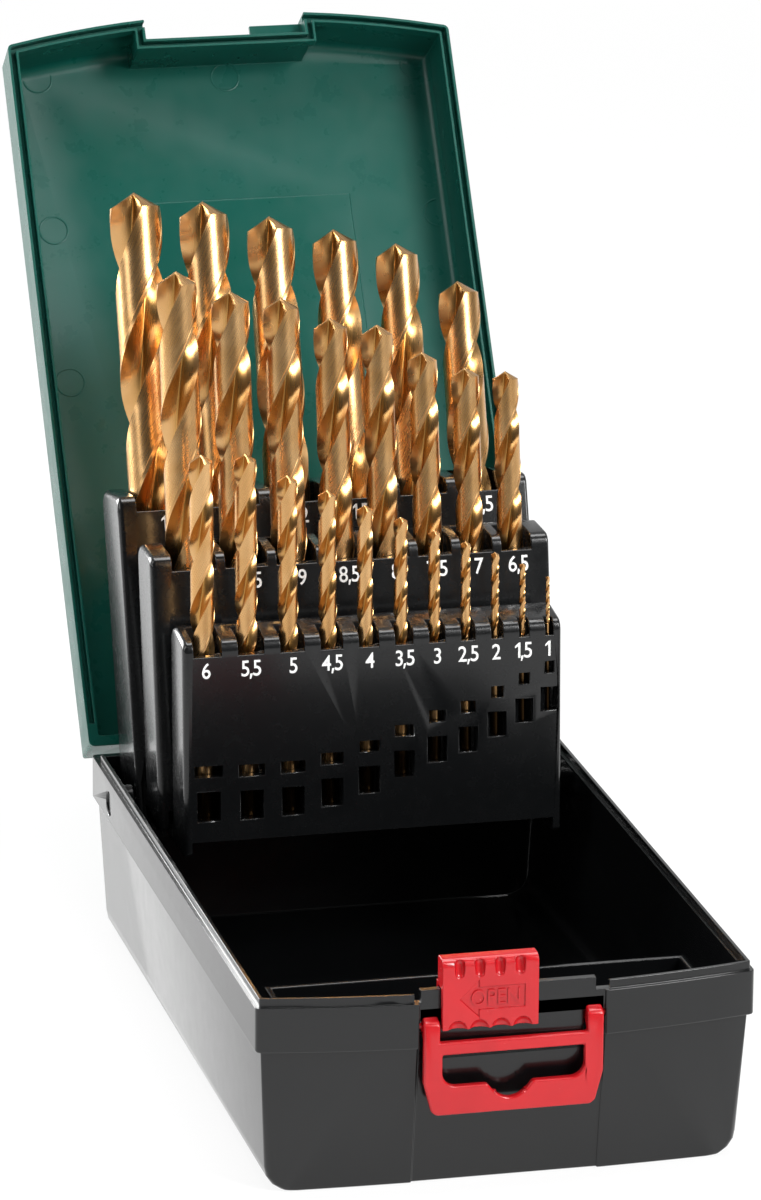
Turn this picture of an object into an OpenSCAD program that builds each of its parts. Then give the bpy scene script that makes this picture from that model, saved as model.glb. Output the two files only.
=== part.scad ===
// Drill bit case: a hinged box whose three racks swing up as the lid opens.
// Drawn open, as it stands in use: lid back, racks fanned, latch slid left.
// X runs right seen from the front, Y to the back, Z up; the origin is the
// centre of the base's underside. All sizes are in mm and degrees.

/* [Case] */
// Width over the rim
case_w = 118; // [117.8:0.1:119]
// Length between the corners, front to back
case_l = 189.2; // [189:0.1:191]
// How far the front bows out at the rim
bow_rim = 6.3; // [5.8:0.1:7]
// How far the front bows out at the underside
bow_foot = 1.9; // [1:0.1:3]
// Height of the base's rim
base_h = 46; // [45.8:0.1:48]
// Height of the thick collar round the rim
collar_h = 10.8; // [10.4:0.1:12]
// Wall of the collar
collar_t = 2.4; // [2.2:0.1:2.5]
// Wall and floor of the body below the collar
wall_t = 2; // [1.6:0.1:2.2]
// Step in from the collar to the body
step_in = 1.4; // [1:0.1:1.6]
// Inset of the underside from the rim
foot_in = 2.8; // [2.4:0.1:3.2]
// Radius of the two long bottom edges
foot_r = 6; // [4:0.5:8]
// Radius of the upright corners
corner_r = 1.5; // [1:0.1:3]
// Height of the tongue the lid closes over
tongue_h = 2.1; // [1.5:0.1:2.3]
// Thickness of the tongue
tongue_t = 0.9; // [0.7:0.1:1]
// Set-back of the tongue from the rim's outer face
tongue_in = 0.95; // [0.9:0.05:1.1]

/* [Front compartment] */
// Back face of the low dividing wall
divider_y = -65; // [-65.5:0.1:-64.5]
// Height of the dividing wall's top
divider_h = 40.2; // [38:0.1:40.3]
// Half the width of the compartment
divider_x = 50.5; // [48:0.5:51]
// Thickness of the dividing wall
divider_t = 1.5; // [1.2:0.1:2]

/* [Lid] */
// Depth of the closed lid
lid_h = 18.5; // [18.3:0.1:20]
// Wall of the lid
lid_t = 2; // [1.6:0.1:2.2]
// Thickness of the lid's rim band
rim_t = 2.7; // [2.6:0.1:3]
// Height of the lid's rim band
rim_h = 3.6; // [3.2:0.1:4.5]
// Radius of the lid's top edges
lid_r = 5; // [3:0.5:6]
// Draft of the lid's sides
lid_draft = 0.6; // [0.3:0.1:1]
// How far the lid stands open
open_angle = 123.2; // [120:0.1:125]
// Hinge line behind the middle of the case
hinge_y = 96.2; // [96:0.1:96.8]
// Hinge barrel radius
barrel_r = 2.7; // [2.5:0.1:2.8]
// Hinge pin radius
hinge_pin_r = 1.2; // [1:0.05:1.3]
// Distance of each hinge from the middle
hinge_x = 38; // [34:1:42]
// Length of the lid's barrel in each hinge
lid_barrel_l = 11; // [9:0.5:13]
// Length of each of the base's two barrels beside it
base_barrel_l = 6; // [5:0.5:8]

/* [Latch and hang tab] */
// Half the width of the recess in the front
recess_x = 22; // [21.8:0.1:23]
// Front face of the latch rail
rail_y = -98.9; // [-99:0.05:-98.8]
// Top of the latch rail
rail_top = 49; // [48.8:0.1:49.1]
// Left end of the latch in its open place
latch_x = -16.9; // [-17:0.05:-16.7]
// Width of the latch
latch_w = 22.6; // [22.2:0.1:22.8]
// Travel of the latch to its closed place
latch_travel = 11.2; // [10.5:0.1:11.2]
// Half the width of the hang tab
tab_x = 21.2; // [21:0.1:21.3]
// Width of the hang tab's arms
tab_arm_w = 3.8; // [3.5:0.1:3.9]
// Foot of the hang tab above the table
tab_foot = 19; // [16:0.5:20]
// Thickness of the hang tab
tab_t = 2.1; // [1.8:0.1:2.2]
// Height of the hang tab's pivot
tab_pivot_z = 40.4; // [40.3:0.1:40.6]

/* [Racks] */
// Pivot line of all three racks, behind the middle of the case
pivot_y = 73; // [72.8:0.1:73.1]
// Height of the racks' pivot line
pivot_z = 40; // [39.9:0.1:40.1]
// Rack pivot pin radius
pivot_r = 1.5; // [1.2:0.05:1.6]
// Radius of the arm ends round the pivot
boss_r = 2.4; // [2.3:0.05:2.5]
// Slope of the racks' top faces
top_slope = 9.5; // [7:0.5:12]
// Radius of the racks' top front edge
shoulder_r = 2.9; // [2.5:0.1:3.3]
// Radius of the racks' top rear edge
rear_r = 4; // [3:0.5:4.5]
// Lean of the front, middle and back rack
leans = [2.2, 9.3, 18];
// Width of the front, middle and back rack
rack_w = [95.2, 101.2, 105.4];
// Front face of each rack, measured back from the pivot line
rack_front = [-37.4, -22, -5.2];
// Rear face of each rack, measured back from the pivot line
rack_rear = [-22.5, -5.7, 15.3];
// Height of each rack's front edge above the pivot line
rack_top = [47.7, 61.5, 73.4];
// Underside of each rack's body above the pivot line
rack_foot = [-0.4, -1.8, -9.2];
// Depth of each row of bits behind its rack's front face
row_inset = [1.2, 1.2, 12.2];
// Share of a bit's diameter that sets it deeper still
row_share = [0.8, 0.8, 0];
// First bit of each row from the middle
row_x = [-41.37, -39.65, -40.9];
// Gap between neighbouring bits in each row
row_gap = [5.1, 3.45, 4.65];

/* [Drill bits] */
// Largest bit of each rack
largest = [6, 10, 13];
// Bits in each rack, each half a millimetre smaller than the last
count = [11, 8, 6];
// Overall lengths of the bits
lengths = [
    [93, 93, 86, 80, 75, 70, 61, 57, 49, 40, 34],
    [133, 125, 125, 117, 117, 109, 105, 101],
    [151, 151, 151, 142, 142, 133]
];
// Fluted lengths of the bits
flutes = [
    [57, 57, 52, 47, 43, 39, 33, 30, 24, 18, 12],
    [87, 81, 81, 75, 75, 69, 69, 63],
    [101, 101, 101, 94, 94, 87]
];
// Height of the seat under each bit above the pivot line
seats = [
    [2.9, 2.6, 3.7, 5.5, 6.2, 7.8, 13.1, 13.8, 18.7, 24.6, 27],
    [0.3, 2.8, 0.5, 2.9, 0.6, 1.3, 0.8, 3.4],
    [1.6, -1.5, -6.1, -1.2, -5.6, -7]
];
// Underside of each lower window above its seat
window_rise = [
    [2, 2.2, 1.4, 1.2, 3.1, 5, 3, 4.3, 2.9, 0.1, 0.4],
    [2.4, 2.4, 2.4, 2.4, 2.4, 2.4, 2.4, 2.4],
    [2.4, 2.4, 2.4, 2.4, 2.4, 2.4]
];
// Depth of the round bore above each seat
bore_l = 13; // [10:0.5:13]
// Point angle of the bits
point_angle = 118; // [118:1:135]

/* [Clearances] */
// Between parts that slide or swing past each other
gap = 0.3; // [0.25:0.05:0.35]
// Radial clearance of the hinge pins
pin_gap = 0.05; // [0.03:0.01:0.08]
// Between neighbouring rack arms
arm_gap = 0.5; // [0.4:0.05:0.6]
// Round each bit in its bore
bit_gap = 0.2; // [0.15:0.05:0.3]
// Round the tongue in the lid's groove
tongue_gap = 0.2; // [0.15:0.05:0.25]

/* [Hidden] */

half_w = case_w / 2;
back_y = case_l / 2;
front_y = -back_y - bow_rim;
rim_curve = (half_w * half_w + bow_rim * bow_rim) / (2 * bow_rim);
foot_w = half_w - foot_in;
foot_curve = (foot_w * foot_w + bow_foot * bow_foot) / (2 * bow_foot);
collar_z = base_h - collar_h;
hinge_z = base_h;
rail_t = 2;
latch_face = rail_y - tab_t;
tab_pivot_y = rail_y + 0.9;
stub_r = 1;
lid_catch_x = 6.6;
notch_left = -22.2;
notch_right = 20.4;
notch_y = rail_y + rail_t + 2 + gap;
pin_head_r = 2.9;
arm_t = 2;
$fn = 64;

// ---- outlines ------------------------------------------------------------

// Half an arc of points about a centre
function arc(cx, cy, r, a0, a1, n) =
    [for (i = [0:n]) let (a = a0 + (a1 - a0) * i / n)
        [cx + r * cos(a), cy + r * sin(a)]];

// The case's plan: straight sides and back, front bowed on one long arc.
// hw is half the width, fy the front's middle, cr the arc's radius.
function plan(hw, fy, cr, by, r) =
    let (
        cy = fy + cr,
        lean = asin((hw - r) / (cr - r)),
        ky = cy - (cr - r) * cos(lean)
    )
    concat(
        [for (x = [-49:7:49])
            if (abs(x) < hw - r - 2) [x, cy - sqrt(cr * cr - x * x)]],
        arc(hw - r, ky, r, -90 + lean, 0, 3),
        arc(hw - r, by - r, r, 0, 90, 3),
        arc(-hw + r, by - r, r, 90, 180, 3),
        arc(-hw + r, ky, r, 180, 270 - lean, 3)
    );

// The rim's plan moved inwards by an even amount
function rim_plan(in) =
    plan(half_w - in, front_y + in, rim_curve - in, back_y - in,
         max(corner_r - in, 0.4));

// The underside's plan moved inwards; sq narrows it further in X only
function foot_plan(in, sq) =
    plan(foot_w - in - sq, -back_y + foot_in - bow_foot + in,
         foot_curve - in, back_y - foot_in - in, max(corner_r - in, 0.4));

// Convex body through a stack of outlines, each given as [height, points]
module loft(stack) {
    points = [for (s = stack, p = s[1]) [p[0], p[1], s[0]]];
    hull()
        polyhedron(points, [[for (i = [0:len(points) - 1]) i]]);
}

module along_x(x0, x1) {
    rotate([90, 0, 90])
        translate([0, 0, x0])
            linear_extrude(x1 - x0)
                children();
}

module rod_x(x0, x1, y, z, r) {
    translate([x0, y, z])
        rotate([0, 90, 0])
            cylinder(h = x1 - x0, r = r);
}

module both_sides() {
    children();
    mirror([1, 0, 0])
        children();
}

// ---- base ----------------------------------------------------------------

// Tapered body under the collar; in = 0 outside, wall_t inside
module body_form(in, z_low, z_high, in_high) {
    loft(concat(
        [for (a = [90:-22.5:0])
            [z_low + foot_r * (1 - sin(a)),
             foot_plan(in, foot_r * (1 - cos(a)))]],
        [[collar_z - 0.5, rim_plan(step_in + in)],
         [z_high, rim_plan(in_high)]]
    ));
}

module collar() {
    translate([0, 0, collar_z])
        linear_extrude(collar_h)
            polygon(rim_plan(0));
}

module tongue() {
    translate([0, 0, base_h - 1])
        linear_extrude(tongue_h + 1)
            difference() {
                polygon(rim_plan(tongue_in));
                polygon(rim_plan(tongue_in + tongue_t));
                translate([-half_w, back_y - 7])
                    square([case_w, 10]);
                translate([-recess_x - 1, front_y - 1])
                    square([2 * recess_x + 2, 12]);
            }
}

// Ribs of wall round the front compartment
module divider() {
    translate([-divider_x, divider_y - divider_t, 1])
        cube([2 * divider_x, divider_t, divider_h - 1]);
    both_sides()
        along_x(divider_x - divider_t, divider_x)
            polygon([[divider_y, 1], [divider_y, divider_h],
                     [-95, divider_h], [-94, collar_z], [-91.2, 1]]);
}

// Front cut: lets the latch rail and hang tab lie behind the bowed front
module front_recess() {
    along_x(-recess_x, recess_x)
        polygon([[-120, -1], [-92.55, -1], [rail_y + 0.4, collar_z],
                 [rail_y, collar_z + 0.1], [rail_y, 60], [-120, 60]]);
}

module latch_rail() {
    along_x(notch_left + 0.7, notch_right - 0.6)
        polygon([[rail_y, collar_z + 2], [rail_y, rail_top],
                 [rail_y + rail_t, rail_top],
                 [rail_y + rail_t, rail_top - 0.4],
                 [rail_y + rail_t + 0.6, rail_top - 0.8],
                 [rail_y + rail_t + 0.6, rail_top - 1.2],
                 [rail_y + rail_t, rail_top - 1.6],
                 [rail_y + rail_t, collar_z + 2]]);
    along_x(-27, 27)
        polygon([[rail_y + 0.3, collar_z + 0.4], [rail_y + 0.3, base_h - 1],
                 [rail_y + 5.3, base_h - 1], [rail_y + 5.3, collar_z + 3],
                 [rail_y + 2, collar_z + 0.4]]);
}

// Pockets for the hang tab's two arm ends, with their bores
module tab_pockets() {
    both_sides() {
        translate([tab_x - tab_arm_w - gap, rail_y - 3, collar_z - 3])
            cube([tab_arm_w + 2 * gap, 6.4, 11.8]);
        rod_x(tab_x - 1, 25.6, tab_pivot_y, tab_pivot_z, stub_r + pin_gap);
    }
}

module base_hinge(x) {
    translate([x, 0, 0]) {
        for (s = [-1, 1])
            along_x(s * (lid_barrel_l / 2 + gap + base_barrel_l / 2)
                    - base_barrel_l / 2,
                    s * (lid_barrel_l / 2 + gap + base_barrel_l / 2)
                    + base_barrel_l / 2) {
                translate([hinge_y, hinge_z])
                    circle(r = barrel_r);
                polygon([[back_y - 1, collar_z + 1],
                         [back_y, collar_z + 1],
                         [hinge_y + 2.3, hinge_z - 1.4],
                         [hinge_y, hinge_z],
                         [back_y - 1, hinge_z - 0.2]]);
            }
    }
}

module case_base() {
    boss_in = rack_w[2] / 2 + gap;
    color("#1b1c1e")
        difference() {
            union() {
                difference() {
                    union() {
                        body_form(0, 0, collar_z + 0.5, step_in);
                        collar();
                    }
                    body_form(wall_t, wall_t, base_h + 1, collar_t);
                    front_recess();
                }
                tongue();
                divider();
                latch_rail();
                base_hinge(-hinge_x);
                base_hinge(hinge_x);
                both_sides()
                    rod_x(boss_in, half_w - 1, pivot_y, pivot_z, 4.6);
            }
            tab_pockets();
            both_sides() {
                rod_x(boss_in - 1, half_w, pivot_y, pivot_z,
                      pivot_r + pin_gap);
                rod_x(boss_in + 2.4, half_w + 1, pivot_y, pivot_z,
                      pin_head_r + 0.1);
                translate([hinge_x, 0, 0]) {
                    rod_x(-lid_barrel_l / 2 - gap, lid_barrel_l / 2 + gap,
                          hinge_y, hinge_z, barrel_r + 0.4);
                    rod_x(-20, 20, hinge_y, hinge_z, hinge_pin_r + pin_gap);
                }
            }
        }
}

// ---- lid -----------------------------------------------------------------

module lid_form(in, z_low, z_high, r, in_low) {
    loft(concat(
        [[z_low, rim_plan(in_low)]],
        [for (a = [0:22.5:90])
            [z_high - r * (1 - sin(a)),
             rim_plan(in + lid_draft + r * (1 - cos(a)))]]
    ));
}

// The catch the latch slides over: a lip turned forwards from the recess
module lid_catch() {
    translate([lid_catch_x, rail_y + 0.3, rail_top + 1.6])
        cube([notch_right + 0.5 - lid_catch_x, notch_y + 0.2 - rail_y, 1.2]);
}

// Plan of the recess in the lid's front, grown by an even amount
module notch_plan(out) {
    translate([notch_left - out, front_y - 1])
        square([notch_right - notch_left + 2 * out,
                notch_y - front_y + 1 + out]);
}

module lid_hinge_barrel(x) {
    translate([x, 0, 0])
        along_x(-lid_barrel_l / 2, lid_barrel_l / 2) {
            translate([hinge_y, hinge_z])
                circle(r = barrel_r);
            polygon([[back_y - 1.2, hinge_z + 0.4], [hinge_y, hinge_z],
                     [hinge_y + 2.5, hinge_z + 1],
                     [back_y - 0.4, hinge_z + 9], [back_y - 1.2, hinge_z + 9]]);
        }
}

module lid_closed() {
    difference() {
        union() {
            difference() {
                union() {
                    difference() {
                        lid_form(0, base_h, base_h + lid_h, lid_r, 0);
                        lid_form(lid_t, base_h - 1, base_h + lid_h - lid_t,
                                 lid_r - lid_t, lid_t);
                    }
                    translate([0, 0, base_h])
                        linear_extrude(rim_h)
                            difference() {
                                polygon(rim_plan(0.3));
                                polygon(rim_plan(rim_t));
                            }
                    intersection() {
                        lid_form(0, base_h, base_h + lid_h, lid_r, 0);
                        translate([0, 0, base_h])
                            union() {
                                linear_extrude(lid_h)
                                    notch_plan(lid_t);
                                linear_extrude(rim_h)
                                    notch_plan(rim_t);
                            }
                    }
                }
                translate([0, 0, base_h - 1])
                    linear_extrude(tongue_h + 1 + gap)
                        difference() {
                            polygon(rim_plan(tongue_in - tongue_gap));
                            polygon(rim_plan(tongue_in + tongue_t
                                             + tongue_gap));
                            translate([-half_w, back_y - 6])
                                square([case_w, 10]);
                        }
                translate([0, 0, base_h - 1])
                    linear_extrude(lid_h + 2)
                        notch_plan(0);
                translate([0, 0, base_h - 1])
                    linear_extrude(tongue_h + 1 + gap)
                        difference() {
                            notch_plan(tongue_in + tongue_t + tongue_gap);
                            notch_plan(tongue_in - tongue_gap);
                            translate([-half_w, front_y - 2])
                                square([case_w, 4.3]);
                        }
            }
            lid_catch();
            lid_hinge_barrel(-hinge_x);
            lid_hinge_barrel(hinge_x);
            translate([-30.5, -54.8, base_h + lid_h - lid_t - 0.5])
                cube([61, 110, 1]);
        }
        both_sides()
            translate([hinge_x, 0, 0]) {
                for (s = [-1, 1])
                    translate([s * (lid_barrel_l / 2 + gap
                                    + base_barrel_l / 2), 0, 0])
                        rod_x(-base_barrel_l / 2 - gap,
                              base_barrel_l / 2 + gap,
                              hinge_y, hinge_z, barrel_r + 0.4);
                rod_x(-lid_barrel_l, lid_barrel_l, hinge_y, hinge_z,
                      hinge_pin_r + pin_gap);
            }
    }
}

module lid() {
    color("#0f5c4a")
        translate([0, hinge_y, hinge_z])
            rotate([-open_angle, 0, 0])
                translate([0, -hinge_y, -hinge_z])
                    lid_closed();
}

module lid_hinge_pin(x) {
    reach = lid_barrel_l / 2 + gap + base_barrel_l;
    color("#9a9c9e")
        rod_x(x - reach, x + reach, hinge_y, hinge_z, hinge_pin_r);
}

module lid_hinge_pin_left() {
    lid_hinge_pin(-hinge_x);
}

module lid_hinge_pin_right() {
    lid_hinge_pin(hinge_x);
}

// ---- racks ---------------------------------------------------------------

function size_of(rack, i) = largest[rack] - i / 2;

function bit_x(rack, i) =
    i == 0 ? row_x[rack]
    : bit_x(rack, i - 1) + row_gap[rack]
      + (size_of(rack, i - 1) + size_of(rack, i)) / 2;

function bit_y(rack, i) =
    rack_front[rack] + row_inset[rack] + row_share[rack] * size_of(rack, i);

// Moves a rack drawn upright about its pivot to its raised place
module raised(rack) {
    translate([0, pivot_y, pivot_z])
        rotate([-leans[rack], 0, 0])
            children();
}

// Side view of a rack's body: rounded shoulder, sloping top, rounded rear
function rack_side(y0, y1, z0, z1) =
    let (
        n = 90 + top_slope,
        back_z = z1 + (shoulder_r - rear_r) / cos(top_slope)
            + (y1 - rear_r - y0 - shoulder_r) * tan(top_slope)
    )
    concat(
        [[y0, z0], [y1, z0]],
        arc(y1 - rear_r, back_z, rear_r, 0, n, 6),
        arc(y0 + shoulder_r, z1, shoulder_r, n, 180, 4)
    );

// One bit's place: pocket, round bore, dip in the front wall, two windows
module bit_place(rack, i) {
    d = size_of(rack, i);
    seat = seats[rack][i];
    top = rack_top[rack];
    y = bit_y(rack, i);
    y0 = rack_front[rack];
    pocket = d + 1;
    low_z = seat + window_rise[rack][i];
    low_h = 5.5 + 0.32 * d;
    low_w = 3.9 + 0.33 * d;
    high_w = 0.95 * d + 1.3;
    translate([bit_x(rack, i), 0, 0]) {
        translate([-pocket / 2, y - pocket / 2, seat + bore_l])
            cube([pocket, pocket, 90]);
        translate([0, y, seat])
            cylinder(h = bore_l + 1, r = d / 2 + bit_gap);
        translate([-pocket / 2, y0 - 1, top - 1.2])
            cube([pocket, y - y0 + 1, 20]);
        translate([-low_w / 2, y0 - 1, low_z])
            cube([low_w, y - y0 + 1, low_h]);
        translate([-high_w / 2, y0 - 1, low_z + low_h + 3.7])
            cube([high_w, y - y0 + 1, 2.9]);
    }
}

module rack_body(rack) {
    along_x(-rack_w[rack] / 2, rack_w[rack] / 2)
        polygon(rack_side(rack_front[rack], rack_rear[rack],
                          rack_foot[rack], rack_top[rack]));
}

module pivot_bore() {
    rod_x(-half_w, half_w, 0, 0, pivot_r + pin_gap);
}

module rack_front() {
    half = rack_w[0] / 2;
    y0 = rack_front[0];
    color("#1e1f21")
        raised(0)
            difference() {
                union() {
                    rack_body(0);
                    both_sides()
                        along_x(half - arm_t, half) {
                            circle(r = boss_r);
                            polygon([[y0, 5], [y0, -3], [y0 + 1, -4],
                                     [-5, -4], [-1, -2.18], [-1, 2.18],
                                     [-5, 0.3], [rack_rear[0], 0.3],
                                     [rack_rear[0], 5]]);
                        }
                }
                pivot_bore();
                for (i = [0:count[0] - 1])
                    bit_place(0, i);
            }
}

module rack_middle() {
    half = rack_w[1] / 2;
    front_arm = rack_w[0] / 2;
    y0 = rack_front[1];
    y1 = rack_rear[1];
    color("#1e1f21")
        raised(1)
            difference() {
                union() {
                    difference() {
                        rack_body(1);
                        both_sides()
                            translate([front_arm - arm_t - 0.4, y0 - 1, -5])
                                cube([20, y1 - y0 + 2, 5.8]);
                    }
                    both_sides()
                        along_x(front_arm + arm_gap, half) {
                            circle(r = boss_r);
                            polygon([[y0, 5], [y0, -3], [y0 + 1, -4],
                                     [-5, -4], [-1, -2.18], [-1, 2.18],
                                     [y1, 4], [y1, 5]]);
                        }
                }
                pivot_bore();
                for (i = [0:count[1] - 1])
                    bit_place(1, i);
            }
}

module rack_back() {
    front_arm = rack_w[0] / 2 - arm_t - 0.4;
    arm_x = rack_w[1] / 2 + arm_gap;
    color("#1e1f21")
        raised(2)
            difference() {
                rack_body(2);
                both_sides() {
                    rod_x(front_arm, arm_x, 0, 0, boss_r + arm_gap);
                    translate([front_arm, -8, -12])
                        cube([arm_x - front_arm, 8, 16.6]);
                    along_x(arm_x - 0.1, 60)
                        polygon([[-8, -12], [-8, -3], [-3, -6], [-3, -12]]);
                }
                pivot_bore();
                for (i = [0:count[2] - 1])
                    bit_place(2, i);
            }
}

// Headed pin through the wall and the three arm ends on one side
module rack_pivot_pin() {
    tip_x = rack_w[0] / 2 - arm_t - 0.3;
    head_x = rack_w[2] / 2 + gap + 2.4;
    color("#1b1c1e") {
        rod_x(tip_x, head_x + 0.1, pivot_y, pivot_z, pivot_r);
        rod_x(head_x, half_w - 0.5, pivot_y, pivot_z, pin_head_r);
    }
}

module rack_pivot_pin_right() {
    rack_pivot_pin();
}

module rack_pivot_pin_left() {
    mirror([1, 0, 0])
        rack_pivot_pin();
}

// ---- latch and hang tab --------------------------------------------------

// Finger dimple that runs up over the latch's top front edge
module dimple() {
    dimple_r = 1.2;
    half_l = 1.1;
    rotate([-15, 0, 0]) {
        translate([0, 0, -half_l])
            cylinder(h = 2 * half_l, r = dimple_r, $fn = 24);
        for (z = [-half_l, half_l])
            translate([0, 0, z])
                sphere(r = dimple_r, $fn = 24);
    }
}

// Arrow cut shallow into the latch's face, pointing the way it opens
module arrow_cut() {
    depth = 0.4;
    translate([0, latch_face + depth, 0])
        rotate([90, 0, 0])
            linear_extrude(2)
                polygon([[latch_x + 4.1, 46.8], [latch_x + 8.6, 42.3],
                         [latch_x + 8.6, 44.1], [latch_x + 19.4, 44.1],
                         [latch_x + 19.4, 49.5], [latch_x + 8.6, 49.5],
                         [latch_x + 8.6, 51.3]]);
}

// Slider that wraps the rail; its upper slot takes the lid's catch
module latch_slider() {
    right = latch_x + latch_w;
    slot_x = latch_x + latch_w - 11.6;
    back = rail_y + rail_t;
    roof = rail_top + 3.1;
    top = rail_top + 7.5;
    foot = 39.5;
    color("#d2161f")
        difference() {
            along_x(latch_x, right)
                polygon(concat(
                    [[latch_face, foot], [rail_y - gap, foot],
                     [rail_y - gap, rail_top + 0.2],
                     [back + 0.9, rail_top + 0.2],
                     [back + 0.9, rail_top - 1.7],
                     [back + gap, rail_top - 2],
                     [back + gap, base_h + 0.3],
                     [back + 2, base_h + 0.3],
                     [back + 2, rail_top + 1.2],
                     [back + 0.9, rail_top + 1.2],
                     [back + 0.9, top - 0.6], [back + 0.3, top]],
                    arc(latch_face + 2, top - 2, 2, 90, 180, 5)
                ));
            translate([slot_x, rail_y - gap, rail_top + 1.2])
                cube([latch_w, 8, roof - rail_top - 1.2]);
            for (i = [0:3]) {
                translate([latch_x + 3.6 + i * 5.1, latch_face - 1.3, foot])
                    sphere(r = 2.6, $fn = 48);
                translate([latch_x + 4 + i * 4.75, latch_face - 0.1,
                           top - 2.3])
                    dimple();
            }
            arrow_cut();
        }
}

// Outline of the hang tab seen from the front: the slot runs across with
// round ends, sags in the middle and bulges down for a display hook
module tab_outline() {
    foot = tab_foot;
    slot_top = foot + 14.6;
    slot_low = foot + 7;
    slot_end_r = 3.4;
    slot_end_x = 16.8 - slot_end_r;
    bar_low = tab_pivot_z - 3.7;
    inner = tab_x - tab_arm_w;
    difference() {
        polygon([[-tab_x, tab_pivot_z], [-tab_x, foot + 8],
                 [-tab_x + 1.8, foot + 1], [-tab_x + 3, foot],
                 [tab_x - 3, foot], [tab_x - 1.8, foot + 1],
                 [tab_x, foot + 8], [tab_x, tab_pivot_z],
                 [inner, tab_pivot_z], [inner, bar_low],
                 [-inner, bar_low], [-inner, tab_pivot_z]]);
        translate([-slot_end_x - slot_end_r, slot_top - 4.3])
            square([2 * (slot_end_x + slot_end_r), 4.3]);
        translate([-slot_end_x, slot_low])
            square([2 * slot_end_x, slot_top - slot_low]);
        for (x = [-slot_end_x, slot_end_x])
            translate([x, slot_low + slot_end_r])
                circle(r = slot_end_r, $fn = 48);
        polygon([[-7, slot_low + 1], [-4.6, slot_low - 2],
                 [3, slot_low - 2], [5.4, slot_low + 1]]);
        translate([-0.8, slot_low + 0.6])
            circle(r = 4.3, $fn = 48);
    }
}

module hang_tab() {
    color("#d2161f") {
        translate([0, rail_y - gap, 0])
            rotate([90, 0, 0])
                linear_extrude(tab_t)
                    tab_outline();
        both_sides() {
            along_x(tab_x - tab_arm_w, tab_x) {
                translate([tab_pivot_y, tab_pivot_z])
                    circle(r = 2.2);
                polygon([[rail_y - gap - tab_t, tab_pivot_z - 5],
                         [rail_y - gap - tab_t, tab_pivot_z + 0.3],
                         [rail_y - gap - tab_t + 0.5, tab_pivot_z + 1.2],
                         [tab_pivot_y, tab_pivot_z + 2.19],
                         [tab_pivot_y, tab_pivot_z - 2.19],
                         [rail_y - gap, tab_pivot_z - 3.4],
                         [rail_y - gap, tab_pivot_z - 5]]);
            }
            rod_x(tab_x - 1, 25.2, tab_pivot_y, tab_pivot_z, stub_r);
        }
    }
}

// ---- drill bits ----------------------------------------------------------

// Cross-section of the fluted part for radius 1: two lands, two flutes
function flute_section() =
    let (half = [[1, 0], [1, 32], [0.95, 60], [0.42, 92], [0.26, 130],
                 [0.5, 162]])
    [for (t = [0, 180], p = half)
        [p[0] * cos(p[1] + t), p[0] * sin(p[1] + t)]];

// Twisted and pointed part of a bit as rings of points up its length
module fluted_body(r, body, tip, turn) {
    section = flute_section();
    n = len(section);
    rings = ceil(turn / 26);
    points = concat(
        [for (k = [0:rings], p = section)
            let (a = turn * k / rings)
            [r * (p[0] * cos(a) - p[1] * sin(a)),
             r * (p[0] * sin(a) + p[1] * cos(a)), body * k / rings]],
        [for (p = section)
            let (w = 0.12 * r)
            [w * (p[0] * cos(turn) - p[1] * sin(turn)),
             w * (p[0] * sin(turn) + p[1] * cos(turn)), body + tip]]
    );
    sides = [for (k = [0:rings], j = [0:n - 1])
        let (a = k * n + j, b = k * n + (j + 1) % n)
        each [[a, a + n, b + n], [a, b + n, b]]];
    caps = [[for (j = [0:n - 1]) j],
            [for (j = [n - 1:-1:0]) (rings + 1) * n + j]];
    polyhedron(points, concat(sides, caps));
}

module drill_bit(rack, i) {
    d = size_of(rack, i);
    r = d / 2;
    shank = lengths[rack][i] - flutes[rack][i];
    tip = r / tan(point_angle / 2);
    body = flutes[rack][i] - tip;
    color("#d9a441")
        raised(rack)
            translate([bit_x(rack, i), bit_y(rack, i), seats[rack][i]]) {
                cylinder(h = shank, r = r, $fn = 48);
                translate([0, 0, shank - 0.4])
                    fluted_body(r - max(0.03, 0.015 * r), body + 0.4, tip,
                                360 * body / (6 * d));
            }
}

module drill_bit_13() { drill_bit(2, 0); }
module drill_bit_12_5() { drill_bit(2, 1); }
module drill_bit_12() { drill_bit(2, 2); }
module drill_bit_11_5() { drill_bit(2, 3); }
module drill_bit_11() { drill_bit(2, 4); }
module drill_bit_10_5() { drill_bit(2, 5); }
module drill_bit_10() { drill_bit(1, 0); }
module drill_bit_9_5() { drill_bit(1, 1); }
module drill_bit_9() { drill_bit(1, 2); }
module drill_bit_8_5() { drill_bit(1, 3); }
module drill_bit_8() { drill_bit(1, 4); }
module drill_bit_7_5() { drill_bit(1, 5); }
module drill_bit_7() { drill_bit(1, 6); }
module drill_bit_6_5() { drill_bit(1, 7); }
module drill_bit_6() { drill_bit(0, 0); }
module drill_bit_5_5() { drill_bit(0, 1); }
module drill_bit_5() { drill_bit(0, 2); }
module drill_bit_4_5() { drill_bit(0, 3); }
module drill_bit_4() { drill_bit(0, 4); }
module drill_bit_3_5() { drill_bit(0, 5); }
module drill_bit_3() { drill_bit(0, 6); }
module drill_bit_2_5() { drill_bit(0, 7); }
module drill_bit_2() { drill_bit(0, 8); }
module drill_bit_1_5() { drill_bit(0, 9); }
module drill_bit_1() { drill_bit(0, 10); }

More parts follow.
